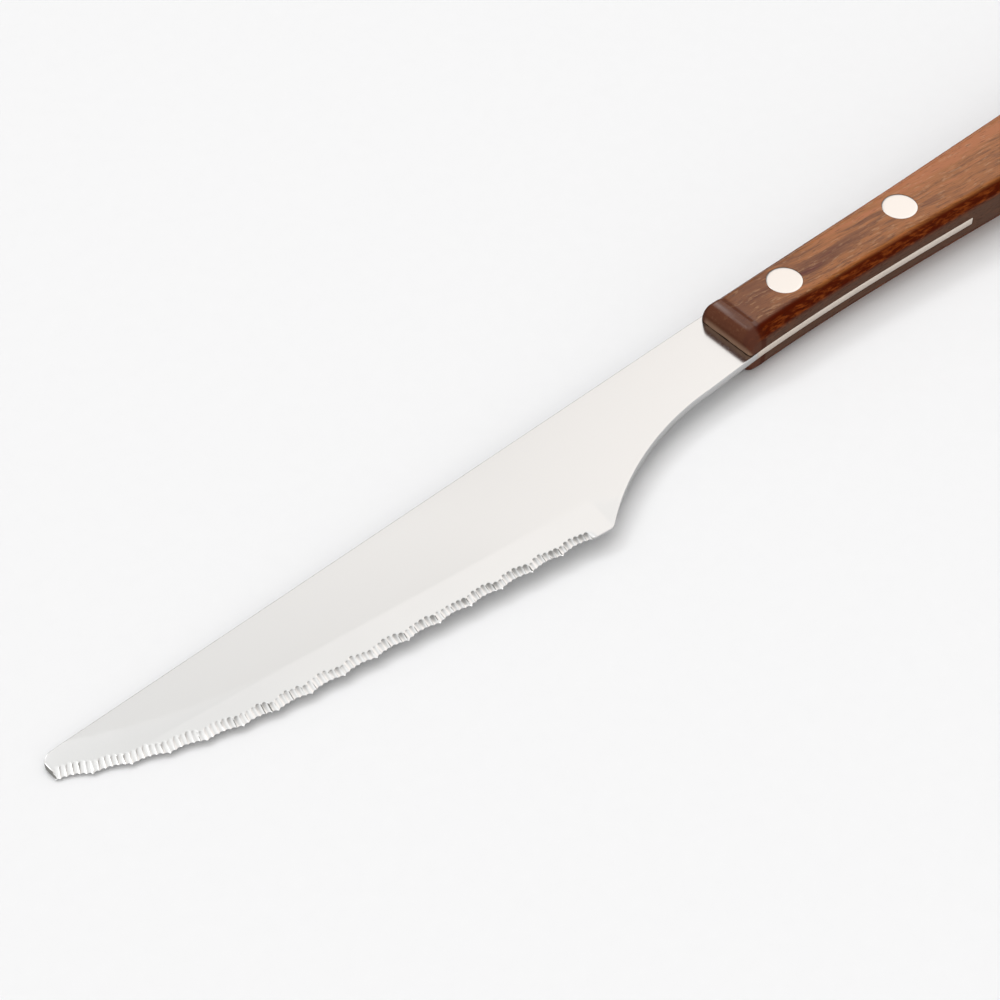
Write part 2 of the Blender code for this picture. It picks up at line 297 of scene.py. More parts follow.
places = [HEEL_ROUND + (HEEL_LAND - HEEL_ROUND) * step / LAND_STEPS for step in range(LAND_STEPS)]
step_along = FLUTE_PITCH / COLUMNS_PER_FLUTE
while HEEL_LAND + step_along * (len(places) - LAND_STEPS) < edge_length:
    places.append(HEEL_LAND + step_along * (len(places) - LAND_STEPS))
places.append(edge_length)
for along in places:
    foot, inward = edge_point(along)
    top = foot + inward * (-foot.y / inward.y)
    columns.append((foot + inward * edge_recess(along), top))
column_count = len(columns) + len(NOSE_FAN)
print(column_count, "columns in all")

# %% [markdown]
# ## Rows across the blade
# Across the blade the rows follow the same idea: close together over the flutes, at the line
# where the bevel starts and along the rims, wide apart on the flat. The rims of stamped and
# tumbled sheet are never sharp, so the last rows bend over a twentieth of a millimetre.

# %% Plan the rows of the blade
RIM = 0.05
BEVEL_WIDTH = 5.0
NARROW_BEVEL = 0.6  # the bevel's share of what is left where the blade is narrow
RIM_ROWS = (0, 0.134 * RIM, 0.5 * RIM, RIM)
EDGE_ROWS = (*RIM_ROWS, 0.2, 0.32, 0.45, 0.6, 0.75, 0.9, 1.0, 1.1, 1.2, 1.3, 1.4, 1.5, 1.6, 1.7,
             1.8, 1.9, 2.0, 2.1)
BEVEL_ROWS = (0.3, 0.6, 0.85, 0.97, 1.0)
FLAT_ROWS = (0.04, 0.2, 0.4, 0.6, 0.8)


def row_places(length):
    """Distances up a column of the given length, from its foot to the spine."""
    fluted, flat_end = EDGE_ROWS[-1], length - RIM
    bevel_line = min(BEVEL_WIDTH, fluted + NARROW_BEVEL * (flat_end - fluted))
    rows = list(EDGE_ROWS)
    rows += [fluted + (bevel_line - fluted) * share for share in BEVEL_ROWS]
    rows += [bevel_line + (flat_end - bevel_line) * share for share in FLAT_ROWS]
    return rows + [flat_end - RIM / 2] + [length - rim for rim in reversed(RIM_ROWS)]


row_count = len(row_places(-HEEL.y))
print(row_count, "rows, the finest", RIM_ROWS[1], "mm from the rim")

# %% [markdown]
# ## Stretching the grid
# The grid starts as a plain square of faces. Each of its points knows its column and row, so it
# can be moved to its place on the plan. The columns of the nose slide from the last column of the
# edge over to the cut-off tip and its rounded corner.

# %% Stretch the grid onto the plan
blade_shape = bmesh.new()
bmesh.ops.create_grid(blade_shape, x_segments=column_count - 1, y_segments=row_count - 1, size=1)
nose_arc_centre = Vector((-BLADE_LENGTH + NOSE_RADIUS, -NOSE_RADIUS))
grid_place = {}
for vert in blade_shape.verts:
    column = round((vert.co.x + 1) / 2 * (column_count - 1))
    row = round((vert.co.y + 1) / 2 * (row_count - 1))
    foot, top = columns[min(column, len(columns) - 1)]
    length = (top - foot).length
    rise = row_places(length)[row]
    point = foot.lerp(top, rise / length)
    if column >= len(columns):
        share = NOSE_FAN[column - len(columns)]
        quarter = math.pi / 2 * rise / length
        arc = nose_arc_centre + NOSE_RADIUS * Vector((-math.cos(quarter), math.sin(quarter)))
        point = point.lerp(arc, share)
    vert.co = (point.x, point.y, 0)
    grid_place[vert] = (column, rise)
print(len(blade_shape.faces), "faces in one skin")

# %% [markdown]
# ## Grinding the blade
# The faces are extruded once, which makes the second skin and the wall in one go, and each skin
# is then ground to its height: flat in the middle, falling to the edge over the bevel, and
# running out gently behind the heel. The flutes and a short slanting grind at the nose are cut
# only into the upper skin.

# %% Grind both skins
HALF_SHEET = 0.6
HALF_EDGE = 0.15
RUN_OUT_SLOPE = 0.045
THINNEST = 0.06
NOSE_GRIND = 0.32
BLADE_CREASE = 28
bevel_slope = (HALF_SHEET - HALF_EDGE) / BEVEL_WIDTH
nose_cut = (Vector((-BLADE_LENGTH, -NOSE_RADIUS)) - NOSE).normalized()
cut_in = Vector((nose_cut.y, -nose_cut.x))


def rim_drop(point, column, rise):
    """How far the rounded rim falls below the face."""
    gap = -point.y
    if point.x < nose_arc_centre.x and point.y > nose_arc_centre.y:
        gap = NOSE_RADIUS - (point - nose_arc_centre).length
    elif point.x < nose_arc_centre.x:
        gap = point.x + BLADE_LENGTH
    if column < blunt_columns:
        gap = min(gap, rise)
    gap = min(max(gap, 0), RIM)
    return RIM - math.sqrt(max(RIM ** 2 - (RIM - gap) ** 2, 0))


def plan_key(vert):
    """Place on the plan, rounded so that a point and its copy above it give the same."""
    return round(vert.co.x, 5), round(vert.co.y, 5)


skins = bmesh.ops.extrude_face_region(blade_shape, geom=blade_shape.faces[:], use_keep_orig=True)
raised = [vert for vert in skins["geom"] if isinstance(vert, bmesh.types.BMVert)]
below = {plan_key(vert): place for vert, place in grid_place.items()}
for vert in raised:
    grid_place[vert] = below[plan_key(vert)]
upper = set(raised)
for vert, (column, rise) in grid_place.items():
    point = vert.co.xy
    along, inside = edge_distance(point)
    lift = RUN_OUT_SLOPE * max(-along, 0)
    half = min(HALF_SHEET, HALF_EDGE + bevel_slope * max(inside, 0) + lift)
    half -= min(rim_drop(point, column, rise), half - THINNEST / 2)
    vert.co.z = -half
    if vert in upper:
        ground = flute_depth(along, inside) + max(NOSE_GRIND - (point - NOSE).dot(cut_in), 0)
        vert.co.z = max(half - ground, THINNEST - half)
blade = make_piece("serrated_blade", blade_shape, BLADE_CREASE)
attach(blade, "root")
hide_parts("blade")
print("blade:", len(blade.data.polygons), "faces")

# %% [markdown]
# ## One helper for colours, one for nodes
# Colours are easiest to read as the hex values of a colour picker, but a shader works with
# linear light, so one function converts them. Node graphs are long to write out by hand, so a
# second function adds a node, sets it up and links its inputs in one line. A third starts each
# finish of the knife off with the knife's own axes, so that patterns can be sized in millimetres.

# %% Colour and node helpers
SOFT = {"interpolation_type": "SMOOTHSTEP"}  # makes a Map Range node start and stop softly


def hex_colour(code):
    """Linear colour of an sRGB hex value."""
    parts = [int(code[i:i + 2], 16) / 255 for i in (0, 2, 4)]
    return (*[c / 12.92 if c <= 0.04045 else ((c + 0.055) / 1.055) ** 2.4 for c in parts], 1)


def add_node(tree, kind, settings, **inputs):
    """Add a node, give it its settings, and fill or link its inputs by name or number."""
    node = tree.nodes.new(kind)
    for name, value in settings.items():
        setattr(node, name, value)
    for name, value in inputs.items():
        socket = node.inputs[int(name[1:]) if name[1:].isdigit() else name.replace("_", " ")]
        if isinstance(value, bpy.types.NodeSocket):
            tree.links.new(value, socket)
        else:
            socket.default_value = value
    return node


def new_finish(name):
    """Empty material with its shader, and the knife's own axes in millimetres."""
    material = bpy.data.materials.new(name)
    material.use_nodes = True
    tree = material.node_tree
    shader = tree.nodes["Principled BSDF"]
    place = add_node(tree, "ShaderNodeTexCoord", {})
    axes = add_node(tree, "ShaderNodeMapping", {"vector_type": "TEXTURE"},
                    Vector=place.outputs["Object"], Location=REST_PLACE,
                    Rotation=(0, -REST_TILT, 0), Scale=(MM, MM, MM))
    return material, tree, shader, axes.outputs["Vector"]


print("mid grey 808080 is", round(hex_colour("808080")[0], 3), "in linear light")

# %% [markdown]
# ## Polished stainless steel
# Table blades are ground along their length and then buffed on a soft wheel. What is left for
# the eye is a bright mirror that is a little soft, with hair lines along the blade and a slight
# cloudiness from the buffing compound. So the roughness is low and drifts slowly, and a very
# shallow bump draws the hair lines.

# %% Polish the steel
HAIR_LINE = 0.12  # real hair lines are about ten times finer, and would not show
HAIR_LENGTH = 18.0
HAIR_DEPTH = 0.02
HAIR_STRENGTH = 0.05
CLOUD_SIZE = 14.0
BUFFED_ROUGHNESS = 0.10
CLOUD_ROUGHNESS = 0.06
HAIR_ROUGHNESS = 0.05

# Buffed steel gives the eye a mirror that is clear up close and a little milky from afar.
steel, tree, shader, axes = new_finish("polished_stainless_steel")
hair_axes = add_node(tree, "ShaderNodeMapping", {}, Vector=axes,
                     Scale=(1 / HAIR_LENGTH, 1 / HAIR_LINE, 1 / HAIR_LINE))
hairs = add_node(tree, "ShaderNodeTexNoise", {}, Vector=hair_axes.outputs[0],
                 Scale=1.0, Detail=2.0, Roughness=0.6)
clouds = add_node(tree, "ShaderNodeTexNoise", {}, Vector=axes,
                  Scale=1 / CLOUD_SIZE, Detail=3.0, Roughness=0.5)
gloss = add_node(tree, "ShaderNodeMath", {"operation": "MULTIPLY_ADD"}, _0=clouds.outputs[0],
                 _1=CLOUD_ROUGHNESS, _2=BUFFED_ROUGHNESS)
streaked = add_node(tree, "ShaderNodeMath", {"operation": "MULTIPLY_ADD"}, _0=hairs.outputs[0],
                    _1=HAIR_ROUGHNESS, _2=gloss.outputs[0])
relief = add_node(tree, "ShaderNodeBump", {}, Height=hairs.outputs[0],
                  Strength=HAIR_STRENGTH, Distance=HAIR_DEPTH * MM)
tree.links.new(streaked.outputs[0], shader.inputs["Roughness"])
tree.links.new(relief.outputs[0], shader.inputs["Normal"])
shader.inputs["Metallic"].default_value = 1.0
blade.data.materials.append(steel)
print("steel hair lines", HAIR_LINE, "mm apart")

# %% [markdown]
# ## Shades of the steel
# The flat's colour carries a painted reflection: a shade darker just above the bevel and lighter
# toward the spine, fading out near the heel. Inside the handle the tang is painted a paler, warmer
# steel, a painted sheen. Each shade is a step along one of the knife's own axes, laid over a
# neutral grey that hardly varies.

# %% Colour the steel
# Painted reflection: how the flat's colour lightens from the bevel toward the spine.
REFLECTION_REACH = 15.0  # distance in from the edge line where the flat is lightest
REFLECTION_SHADES = (0.965, 1.03)
BEVEL_BLUR = 0.3
HEEL_FADE = (-38.0, -58.0)
TANG_SHEEN_START = (1.0, 1.8)
edge_line = HEEL.dot(edge_in)
bevel_top = edge_line + BEVEL_WIDTH

tint = add_node(tree, "ShaderNodeMix", {"data_type": "RGBA"}, _0=clouds.outputs[0],
                _6=hex_colour("C2C2C2"), _7=hex_colour("C7C7C7"))
edge_gap = add_node(tree, "ShaderNodeVectorMath", {"operation": "DOT_PRODUCT"}, _0=axes,
                    _1=(*edge_in, 0)).outputs["Value"]
# Painted reflection on the flat: darker just above the bevel, lighter toward the spine, fading out
# near the heel.
painted_reflection = add_node(tree, "ShaderNodeMapRange", {}, Value=edge_gap, From_Min=bevel_top,
                  From_Max=edge_line + REFLECTION_REACH, To_Min=REFLECTION_SHADES[0], To_Max=REFLECTION_SHADES[1])
on_flat = add_node(tree, "ShaderNodeMapRange", SOFT, Value=edge_gap,
                   From_Min=bevel_top - BEVEL_BLUR, From_Max=bevel_top + BEVEL_BLUR)
place = add_node(tree, "ShaderNodeSeparateXYZ", {}, Vector=axes)
off_heel = add_node(tree, "ShaderNodeMapRange", SOFT, Value=place.outputs[0],
                    From_Min=HEEL_FADE[0], From_Max=HEEL_FADE[1])
darker = add_node(tree, "ShaderNodeMath", {"operation": "MULTIPLY"}, _0=on_flat.outputs[0],
                  _1=off_heel.outputs[0])
shade = add_node(tree, "ShaderNodeMix", {}, _0=darker.outputs[0], _2=1.0, _3=painted_reflection.outputs[0])
shaded = add_node(tree, "ShaderNodeVectorMath", {"operation": "SCALE"}, Vector=tint.outputs[2],
                  Scale=shade.outputs[0])
# Painted sheen: the tang between the cheeks gets a paler, warmer steel than the blade.
in_handle = add_node(tree, "ShaderNodeMapRange", {}, Value=place.outputs[0],
                     From_Min=TANG_SHEEN_START[0], From_Max=TANG_SHEEN_START[1])
painted_tang_sheen = add_node(tree, "ShaderNodeMix", {"data_type": "RGBA"}, _0=in_handle.outputs[0],
                  _6=shaded.outputs[0], _7=hex_colour("DCD0C4"))
tree.links.new(painted_tang_sheen.outputs[2], shader.inputs["Base Color"])
print("bevel line", BEVEL_WIDTH, "mm in from the edge")

# %% [markdown]
# ## The wooden handle, section by section
# The handle is one piece of pressed wood. Across it the cheeks are flat, the back is a low arch
# that meets them in a soft edge, and the corners at the belly are rounded. It could be a box with
# rounded edges, but the arch would be lost, so it is lofted like a boat from many sections. One
# function draws the section at any place along the handle.

# %% Draw a section of the handle
HALF_HANDLE = 4.0
BACK_ARC = 4.9
FRONT_FULLER = 0.8  # added to the arch's radius at the front, and how far that reaches
FULLER_RUN = 16.0
BACK_SOFT = 0.6
BELLY_ROUND = 2.5
CORNER_STEPS = 10


def ring_points(x, half, back, belly, scale):
    """Section across the handle: arched back, flat cheeks and rounded belly."""
    arc = (BACK_ARC + FRONT_FULLER * max(1 - x / FULLER_RUN, 0)) * scale
    soft, round_off = BACK_SOFT * scale, BELLY_ROUND * half / HALF_HANDLE
    meet = math.asin((half - soft) / (arc - soft))
    crease = back - arc + (arc - soft) * math.cos(meet)
    quarter, full = math.pi / 2, math.tau
    # Each bend has a centre, a radius, a first and a last angle, and the step to start from.
    bends = ((back - arc, 0, arc, 0, meet, 0),
             (crease, half - soft, soft, meet, quarter, 1),
             (belly + round_off, half - round_off, round_off, quarter, 2 * quarter, 0),
             (belly + round_off, round_off - half, round_off, 2 * quarter, 3 * quarter, 0),
             (crease, soft - half, soft, 3 * quarter, full - meet, 0),
             (back - arc, 0, arc, full - meet, full, 1))
    points = []
    for y, z, radius, start, end, first in bends:
        for step in range(first, CORNER_STEPS + 1):
            angle = start + (end - start) * step / CORNER_STEPS
            points.append((x, y + radius * math.cos(angle), z + radius * math.sin(angle)))
    return points[:-1]


front_ring = ring_points(0, HALF_HANDLE, 0, belly_at(0), 1)
print(len(front_ring), "points in a section")

# %% [markdown]
# ## Stations along the handle
# At the front the handle rolls down to a low wall above the blade, and its corners are rounded in
# plan. Then the back line sinks a quarter of a millimetre, the belly swells, and the butt closes
# in a quarter ellipse. A station is a place along the handle with the width and heights there.

# %% Plan the stations
HANDLE_LENGTH = 104.0
BACK_FALL = 0.25
FALL_START = 12.0
FALL_RUN = 28.0
FRONT_ROLL = 2.2
FRONT_DROP = 1.7
FRONT_SLOPE = 0.2
BACK_CORNER = 1.2
BELLY_CORNER = 0.7
STEP_RUN = 0.65
STEP_SHARES = (0.12, 0.3, 0.5, 0.7, 0.88, 1.0)
BUTT_LENGTH = 8.0
BUTT_TURN = math.radians(87)
ROLL_STEPS, BODY_STEPS, BUTT_STEPS = 14, 48, 16


def back_at(x):
    """Height of the handle's back line."""
    return -BACK_FALL * s_curve((x - FALL_START) / FALL_RUN)


def corner_inset(x, radius):
    """How far the rounded front corner draws the outline in."""
    return radius - math.sqrt(max(radius ** 2 - max(radius - x, 0) ** 2, 0))


stations = []
for step in range(ROLL_STEPS + 1):
    x = FRONT_ROLL * (1 - math.cos(math.pi / 2 * step / ROLL_STEPS))
    ahead = 1 - x / FRONT_ROLL
    drop = FRONT_SLOPE * FRONT_ROLL * ahead
    drop += (FRONT_DROP - FRONT_SLOPE * FRONT_ROLL) * ahead ** 4
    stations.append((x, HALF_HANDLE - drop, -corner_inset(x, BACK_CORNER),
                     belly_at(x) + corner_inset(x, BELLY_CORNER), 1))
for share in STEP_SHARES:
    x = FRONT_ROLL + STEP_RUN * share
    stations.append((x, HALF_HANDLE, 0, belly_at(x), 1))
body = HANDLE_LENGTH - BUTT_LENGTH - FRONT_ROLL
for step in range(1, BODY_STEPS):
    x = FRONT_ROLL + body * step / BODY_STEPS
    stations.append((x, HALF_HANDLE, back_at(x), belly_at(x), 1))
for step in range(BUTT_STEPS + 1):
    angle = BUTT_TURN * step / BUTT_STEPS
    x = HANDLE_LENGTH - BUTT_LENGTH * (1 - math.sin(angle) / math.sin(BUTT_TURN))
    share, middle = math.cos(angle), (back_at(x) + belly_at(x)) / 2
    rise = share * (back_at(x) - belly_at(x)) / 2
    stations.append((x, HALF_HANDLE * share, middle + rise, middle - rise, share))
print(len(stations), "stations")

# %% [markdown]
# ## Lofting the handle
# One ring of points is extruded again and again, and each new ring is moved to its station. A
# number stored on every point says which point of the section it is. Pressing leaves the rolled
# front a hair higher than the cheek behind it, so the upper side is raised there by a small step,
# which shows as a crease across the handle.

# %% Loft the handle
FRONT_STEP = 0.15

handle_shape = bmesh.new()
ring_number = handle_shape.verts.layers.int.new("ring_number")
ring = ring_points(*stations[0])
circle = bmesh.ops.create_circle(handle_shape, segments=len(ring), radius=1, cap_ends=True)
for number, (vert, place) in enumerate(zip(circle["verts"], ring)):
    vert.co = place
    vert[ring_number] = number
edges = handle_shape.edges[:]
for station in stations[1:]:
    ring = ring_points(*station)
    grown = bmesh.ops.extrude_edge_only(handle_shape, edges=edges)["geom"]
    edges = [item for item in grown if isinstance(item, bmesh.types.BMEdge)]
    for vert in grown:
        if isinstance(vert, bmesh.types.BMVert):
            vert.co = ring[vert[ring_number]]
bmesh.ops.contextual_create(handle_shape, geom=edges)
for vert in handle_shape.verts:
    fade = min(max((FRONT_ROLL + STEP_RUN - vert.co.x) / STEP_RUN, 0), 1)
    vert.co.z += FRONT_STEP * fade * max(vert.co.z / HALF_HANDLE, 0)
print(len(handle_shape.faces), "faces in the plain handle")

# %% [markdown]
# ## Tools for the slot and the rivet holes
# The wood is sawn open from the front to take the tang, and bored for the rivet heads. The tools
# are a box and four cylinders, a hair larger than what goes in, so a thin dark joint is left
# round the metal, finer at the rivets, which are pressed in. A saw leaves a ragged line in wood,
# so the upper side of the box is cut into strips that are each raised or lowered a little.

# %% Make the saw and the drills
JOINT = 0.08
RIVET_RADIUS = 2.55
RIVET_HEAD = 1.6
RIVET_JOINT = 0.04
RIVET_LIFT = 0.17  # from half way between belly and spine up to the rivets
RIVET_PLACES = {"front": 11.6, "rear": 34.45}
SAW_AHEAD = 5.0  # how far the box sticks out at the front, its middle and its height
SAW_MIDDLE = -7.0
SAW_HEIGHT = 30.0
SAW_TEETH = 60
SAW_RAGGED = (-0.05, 0.09)
DRILL_REACH = 5.0
ROUND_STEPS = 96
WOOD_CREASE = 30

rivet_centres = {label: Vector((x, belly_at(x) / 2 + RIVET_LIFT))
                 for label, x in RIVET_PLACES.items()}
slot_length = TANG_LENGTH + JOINT + SAW_AHEAD
cutter_shape = bmesh.new()
slot_matrix = (Matrix.Translation((slot_length / 2 - SAW_AHEAD, SAW_MIDDLE, 0))
               @ Matrix.Diagonal((slot_length, SAW_HEIGHT, 2 * (HALF_SHEET + JOINT), 1)))
bmesh.ops.create_cube(cutter_shape, size=1, matrix=slot_matrix)
upright = [edge for edge in cutter_shape.edges
           if abs(edge.verts[0].co.y - edge.verts[1].co.y) > 1]
bmesh.ops.subdivide_edges(cutter_shape, edges=upright, cuts=SAW_TEETH, use_grid_fill=True)
saw = random.Random(11)
ragged = {}
for vert in cutter_shape.verts:
    if vert.co.z > 0:
        vert.co.z += ragged.setdefault(round(vert.co.y, 3), saw.uniform(*SAW_RAGGED))
cutters = [make_piece("slot_saw", cutter_shape, WOOD_CREASE)]
for label, centre in rivet_centres.items():
    for side in (1, -1):
        drill = bmesh.new()
        middle = side * (HALF_HANDLE - RIVET_HEAD - JOINT + DRILL_REACH / 2)
        bmesh.ops.create_cone(drill, cap_ends=True, segments=ROUND_STEPS, depth=DRILL_REACH,
                              radius1=RIVET_RADIUS + RIVET_JOINT,
                              radius2=RIVET_RADIUS + RIVET_JOINT,
                              matrix=Matrix.Translation((centre.x, centre.y, middle)))
        cutters.append(make_piece(f"{label}_drill", drill, WOOD_CREASE))
print(len(cutters), "tools")

# %% [markdown]
# ## Cutting the wood
# Boolean modifiers take the tools out of the wood. The cuts are then baked into the mesh and the
# tools removed, so that the scene holds only pieces of the knife.

# %% Saw the slot and bore the holes
handle = make_piece("wooden_handle", handle_shape, WOOD_CREASE)
for cutter in cutters:
    cut = handle.modifiers.new(cutter.name, "BOOLEAN")
    cut.operation, cut.solver, cut.object = "DIFFERENCE", "EXACT", cutter
graph = bpy.context.evaluated_depsgraph_get()
carved = bpy.data.meshes.new_from_object(handle.evaluated_get(graph))
handle.modifiers.clear()
handle.data = carved
for cutter in cutters:
    bpy.data.objects.remove(cutter)
carved.shade_smooth()
carved.set_sharp_from_angle(angle=math.radians(WOOD_CREASE))
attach(handle, "root")
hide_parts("handle")
print("handle:", len(carved.polygons), "faces after the cuts")

# %% [markdown]
# ## Lacquered red-brown wood: the grain
# The figure of wood has parts of very different size: broad growth layers, streaks, fine fibres,
# open pores and pale flecks, all much longer than wide. Each is one noise texture, stretched to
# its own length and width along a grain that runs at a slight angle to the handle. A slow sway
# moves them all together, because no tree grows quite straight.

# %% Draw the grain
GRAIN_TURN = math.radians(-7.4)
SWAY_LENGTH = 14.0
SWAY_WIDTH = 2.0
# Length and width in millimetres, and the noise's detail. Real fibres and pores are a few
# hundredths of a millimetre wide, so they are drawn coarser here, or they would not show.
GRAIN = {"layers": (60.0, 3.2, 3.0), "streaks": (16.0, 0.8, 4.0), "fibres": (5.0, 0.22, 2.0),
         "pores": (1.8, 0.14, 1.0), "flecks": (2.0, 0.42, 3.0)}

# Lacquered wood gives the eye a deep, warm colour under a thin, clear shine.
wood, tree, shader, axes = new_finish("lacquered_red_brown_wood")
wander = add_node(tree, "ShaderNodeTexNoise", {}, Vector=axes, Scale=1 / SWAY_LENGTH, Detail=2.0)
sway = add_node(tree, "ShaderNodeVectorMath", {"operation": "MULTIPLY_ADD"},
                _0=wander.outputs[1], _1=(0, SWAY_WIDTH, SWAY_WIDTH), _2=axes).outputs[0]
grain = {}
for name, (length, width, detail) in GRAIN.items():
    along_grain = add_node(tree, "ShaderNodeMapping", {"vector_type": "TEXTURE"}, Vector=sway,
                           Rotation=(0, 0, GRAIN_TURN), Scale=(length, width, width))
    grain[name] = add_node(tree, "ShaderNodeTexNoise", {}, Vector=along_grain.outputs[0],
                           Scale=1.0, Detail=detail, Roughness=0.6).outputs[0]
print("grain turned", round(math.degrees(GRAIN_TURN), 1), "degrees from the handle")

# %% [markdown]
# ## A dark vein
# One dark vein runs along the cheek between the rivets, swaying with the grain. What the colour
# needs to know is the distance from the vein's line. At both ends that distance is made larger,
# so the vein thins out there instead of stopping short.

# %% Measure the distance from the vein
VEIN_HEIGHT = -4.6
VEIN_ENDS = ((25.0, 33.0, 0.85), (15.0, 7.0, 1.2))  # from x, to x, pushed away by

place = add_node(tree, "ShaderNodeSeparateXYZ", {}, Vector=axes)
wood_x, wood_y, wood_z = place.outputs[0], place.outputs[1], place.outputs[2]
swayed_y = add_node(tree, "ShaderNodeSeparateXYZ", {}, Vector=sway).outputs[1]
from_vein = add_node(tree, "ShaderNodeMath", {"operation": "SUBTRACT"}, _0=swayed_y,
                     _1=VEIN_HEIGHT)
off_vein = add_node(tree, "ShaderNodeMath", {"operation": "ABSOLUTE"},
                    _0=from_vein.outputs[0]).outputs[0]
for start, end, push in VEIN_ENDS:
    pushed = add_node(tree, "ShaderNodeMapRange", {}, Value=wood_x, From_Min=start, From_Max=end,
                      To_Max=push)
    off_vein = add_node(tree, "ShaderNodeMath", {"operation": "ADD"}, _0=off_vein,
                        _1=pushed.outputs[0]).outputs[0]
print("vein", -VEIN_HEIGHT, "mm below the spine")

# %% [markdown]
# ## Light and dark in the wood
# The layers, streaks and fibres are added up to one tone, which a colour ramp turns into browns.
# The front of the handle is calm and dark, and the wood turns golden toward the butt and along
# the back. These slow drifts are added to the tone too, and so is the vein.

# %% Shade the wood
FIGURE = (("layers", 0.85), ("streaks", 0.8), ("fibres", 0.55))
FIGURE_LEVEL = -1.05  # brings the sum of the three noises to about zero
CALM_FRONT = (2.0, 14.0)
CALM_SHARE = (0.45, 1.15)
MIDDLE_TONE = 0.58
BROWNS = ((0.1, "551B0B"), (0.34, "66381A"), (0.52, "744526"), (0.74, "925A2E"), (0.95, "A06038"))

figure = FIGURE_LEVEL
for name, weight in FIGURE:
    figure = add_node(tree, "ShaderNodeMath", {"operation": "MULTIPLY_ADD"}, _0=grain[name],
                      _1=weight, _2=figure).outputs[0]
calm = add_node(tree, "ShaderNodeMapRange", SOFT, Value=wood_x, From_Min=CALM_FRONT[0],
                From_Max=CALM_FRONT[1], To_Min=CALM_SHARE[0], To_Max=CALM_SHARE[1])
tone = add_node(tree, "ShaderNodeMath", {"operation": "MULTIPLY_ADD"}, _0=figure,
                _1=calm.outputs[0], _2=MIDDLE_TONE).outputs[0]
# What the tone follows, from where to where, and what is added at both ends.
drifts = ((wood_x, 2.0, 24.0, -0.27, 0.04),  # dark front
          (wood_x, 24.0, 44.0, 0, 0.12),  # golden toward the butt
          (off_vein, 1.5, 0.2, 0, -0.26),  # dark vein
          (swayed_y, -3.8, -2.4, 0, 0.14))  # lighter along the back
for value, start, end, first, last in drifts:
    drift = add_node(tree, "ShaderNodeMapRange", SOFT, Value=value, From_Min=start, From_Max=end,
                     To_Min=first, To_Max=last)
    tone = add_node(tree, "ShaderNodeMath", {"operation": "ADD"}, _0=drift.outputs[0],
                    _1=tone).outputs[0]
browns = add_node(tree, "ShaderNodeValToRGB", {}, Fac=tone)
ramp = browns.color_ramp.elements
for position, code in BROWNS:
    ramp.new(position).color = hex_colour(code)
ramp.remove(ramp[0])
ramp.remove(ramp[-1])
print(len(ramp), "browns in the ramp")

# %% [markdown]
# ## Places on the handle
# Some colours of the wood belong to a place and not to the grain: a dark band along the belly
# that fades toward the butt, partly stain and partly painted shade, a painted reflection of the
# blade low on the front beside the slot, and painted shade in the crease behind the rolled front.
# Each place is a distance, worked out here from the knife's own axes.

# %% Measure the places that get their own colour, painted shade or painted reflection
BUTT_FADE = (52.0, 100.0, 2.4)  # from x, to x, added to the height above the belly
# Where the dark belly band, partly stain and partly painted shade, changes its height.
STAIN_AND_SHADE_FALL = (8.0, 15.0, 0.45)
# Painted reflection of the blade, low on the handle's front: how fast it fades going back.
BLADE_REFLECTION_SLANT = 2.0
FLECK_HEIGHT = (1.35, 0.8)  # heights above the belly, and what the flecks gain there
FLECK_GAIN = (-0.16, 0.07)

depth = add_node(tree, "ShaderNodeMath", {"operation": "ABSOLUTE"}, _0=wood_z).outputs[0]
# Where the painted reflection of the blade lies: low on the front, close to the slot.
blade_reflection_place = add_node(tree, "ShaderNodeMath", {"operation": "MULTIPLY_ADD"}, _0=wood_x,
                     _1=BLADE_REFLECTION_SLANT, _2=depth).outputs[0]
# Distance from the crease behind the rolled front, where shade is painted.
from_crease = add_node(tree, "ShaderNodeMath", {"operation": "SUBTRACT"}, _0=wood_x,
                       _1=FRONT_ROLL + STEP_RUN / 2)
crease = add_node(tree, "ShaderNodeMath", {"operation": "ABSOLUTE"},
                  _0=from_crease.outputs[0]).outputs[0]
belly_line = add_node(tree, "ShaderNodeMapRange", SOFT, Value=wood_x,
                      From_Min=BELLY_SLOPE[0], From_Max=BELLY_SLOPE[1],
                      To_Min=BELLY_HEIGHT[0], To_Max=BELLY_HEIGHT[1])
above_belly = add_node(tree, "ShaderNodeMath", {"operation": "SUBTRACT"}, _0=wood_y,
                       _1=belly_line.outputs[0])
heights = [above_belly.outputs[0]]
for start, end, most in (BUTT_FADE, STAIN_AND_SHADE_FALL):
    more = add_node(tree, "ShaderNodeMapRange", SOFT, Value=wood_x, From_Min=start, From_Max=end,
                    To_Max=most)
    heights.append(add_node(tree, "ShaderNodeMath", {"operation": "ADD"}, _0=heights[-1],
                            _1=more.outputs[0]).outputs[0])
# The last height places the dark belly band: partly stain, partly painted shade.
above, stain_and_shade = heights[1:]
fleck_size = add_node(tree, "ShaderNodeMapRange", SOFT, Value=above, From_Min=FLECK_HEIGHT[0],
                      From_Max=FLECK_HEIGHT[1], To_Min=FLECK_GAIN[0], To_Max=FLECK_GAIN[1])
low_flecks = add_node(tree, "ShaderNodeMath", {"operation": "ADD"}, _0=grain["flecks"],
                      _1=fleck_size.outputs[0]).outputs[0]
print("crease of the rolled front", FRONT_ROLL + STEP_RUN / 2, "mm behind the front")
